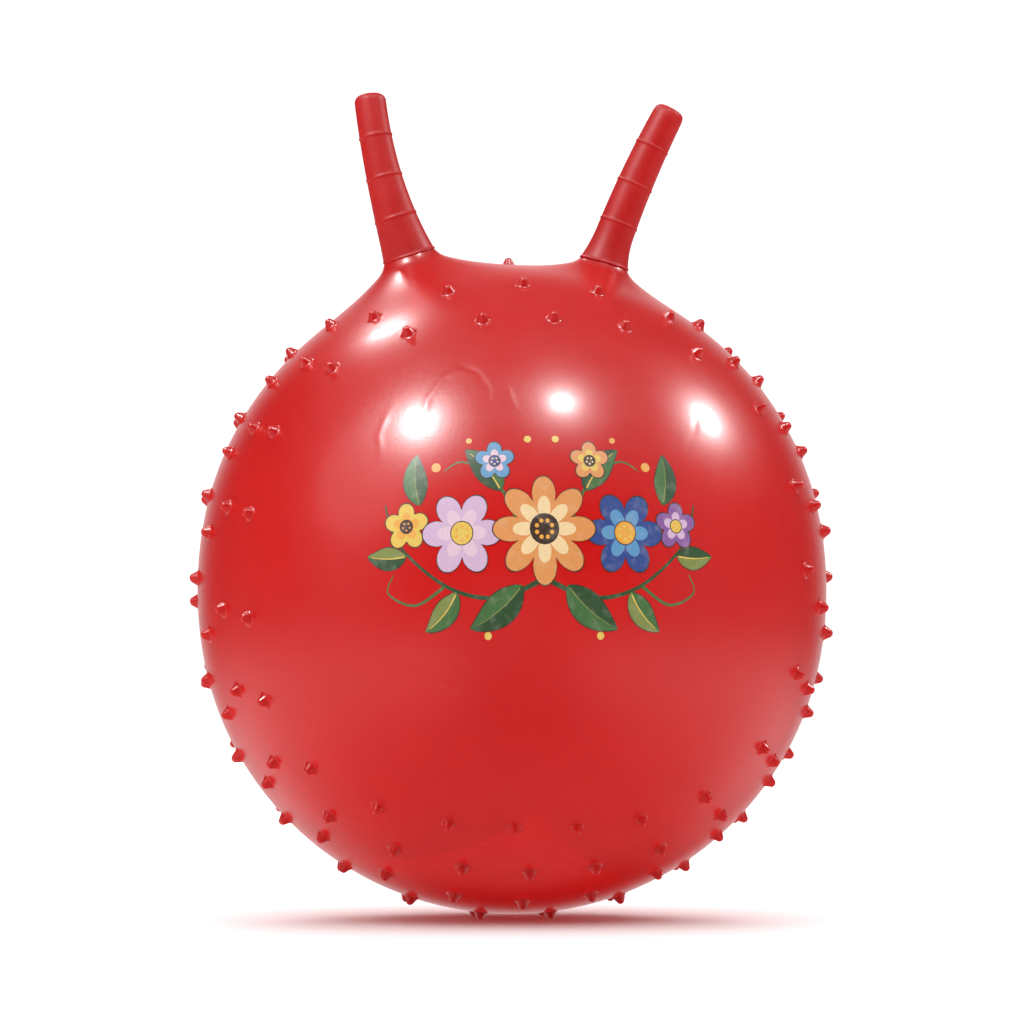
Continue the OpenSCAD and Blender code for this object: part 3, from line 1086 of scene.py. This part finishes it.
def addLamps():
    side = math.radians(shot["azimuth"])
    right = Vector((math.cos(side), math.sin(side), 0))
    ahead = Vector((-math.sin(side), math.cos(side), 0))
    for name, form in lamps.items():
        x, y, z = form["way"]
        way = (right * x + ahead * y + Vector((0, 0, z))).normalized()
        data = bpy.data.lights.new(name, "AREA")
        data.shape = "DISK"
        data.size = form["size"]
        data.energy = form["power"]
        lamp = bpy.data.objects.new(name, data)
        bpy.context.scene.collection.objects.link(lamp)
        lamp.location = Vector((0, 0, ballMiddle)) + way * form["distance"]
        lamp.rotation_euler = (-way).to_track_quat("-Z", "Y").to_euler()
        lamp.visible_glossy = form["shows"] == "gloss"
        lamp.visible_diffuse = form["shows"] == "shade"


addLamps()

# Studio: white straight behind the ball, a pale floor low at the sides, grey above, dark where the camera
# stands. Each edge is where a zone's light sets in and where it is full
studio = {
    "back": 1.2,
    "backEdge": (0.7, 1.0),
    "backFoot": (-0.5, -0.3),
    "backPower": 3,
    "side": 0.2,
    "sideEdge": (0.5, 0.95),
    "low": 0.95,
    "lowShift": 0.07,
    "lowEdge": (0.17, 0.52),
    "lowTop": (-0.1, -0.3),
    "lowFoot": (-0.9, -0.4),
    "top": 0.2,
    "topEdge": (0.5, 0.9),
    "under": 0.45,
    "underEdge": (-0.7, -0.95),
    "sun": 3.5,
    "sunAngle": 108.0,
    "floor": (0.92, 0.92, 0.92, 1),
    "floorDust": (0.90, 0.90, 0.90, 1),
    "floorRoughness": 0.8,
    "floorSize": 12.0,
}


def addWorld():
    world = bpy.data.worlds.new("studio")
    bpy.context.scene.world = world
    sheet = Sheet(world)
    split = sheet.add("ShaderNodeSeparateXYZ", {}, {0: sheet.add("ShaderNodeTexCoord")}).socket.node
    x, y, z = [Wire(sheet, socket) for socket in split.outputs]
    turn = math.radians(shot["azimuth"])
    across = x * math.cos(turn) + y * math.sin(turn)
    ahead = y * math.cos(turn) - x * math.sin(turn)
    side = sheet.spread(abs(across), *studio["sideEdge"]) * studio["side"]
    low = sheet.spread(z, *studio["lowTop"]) * sheet.spread(z, *studio["lowFoot"]) * studio["low"]
    low = low * sheet.spread(abs(across - studio["lowShift"]), *studio["lowEdge"])
    top = sheet.spread(z, *studio["topEdge"]) * studio["top"]
    under = sheet.spread(z, *studio["underEdge"]) * studio["under"]
    back = sheet.spread(ahead, *studio["backEdge"]) ** studio["backPower"]
    back = back * sheet.spread(z, *studio["backFoot"])
    strength = (side + top + under + low) * (1 - back) + back * studio["back"]
    light = sheet.add("ShaderNodeBackground", {}, {"Color": (1, 1, 1, 1), "Strength": strength})
    sheet.add("ShaderNodeOutputWorld", {}, {"Surface": light})


addWorld()


def addSun():
    data = bpy.data.lights.new("ceiling", "SUN")
    data.energy = studio["sun"]
    data.angle = math.radians(studio["sunAngle"])
    lamp = bpy.data.objects.new("ceiling", data)
    bpy.context.scene.collection.objects.link(lamp)
    lamp.visible_glossy = False


addSun()


def addFloor():
    size = studio["floorSize"]
    corners = [(-size, -size, 0), (size, -size, 0), (size, size, 0), (-size, size, 0)]
    made, sheet = material("pale_floor")
    dust = sheet.noise(sheet.place(), 3.0, 3.0)
    colour = sheet.mix(dust, studio["floor"], studio["floorDust"])
    sockets = {"Base Color": colour, "Roughness": studio["floorRoughness"]}
    sheet.finish(sheet.add("ShaderNodeBsdfPrincipled", {}, sockets))
    floor = meshPiece("floor", corners, [(0, 1, 2, 3)], made)
    floor.visible_glossy = False
    floor.visible_shadow = False  # lets the lamp below it reach the ball


addFloor()
bpy.context.scene.view_settings.view_transform = "Standard"
print("stage set")
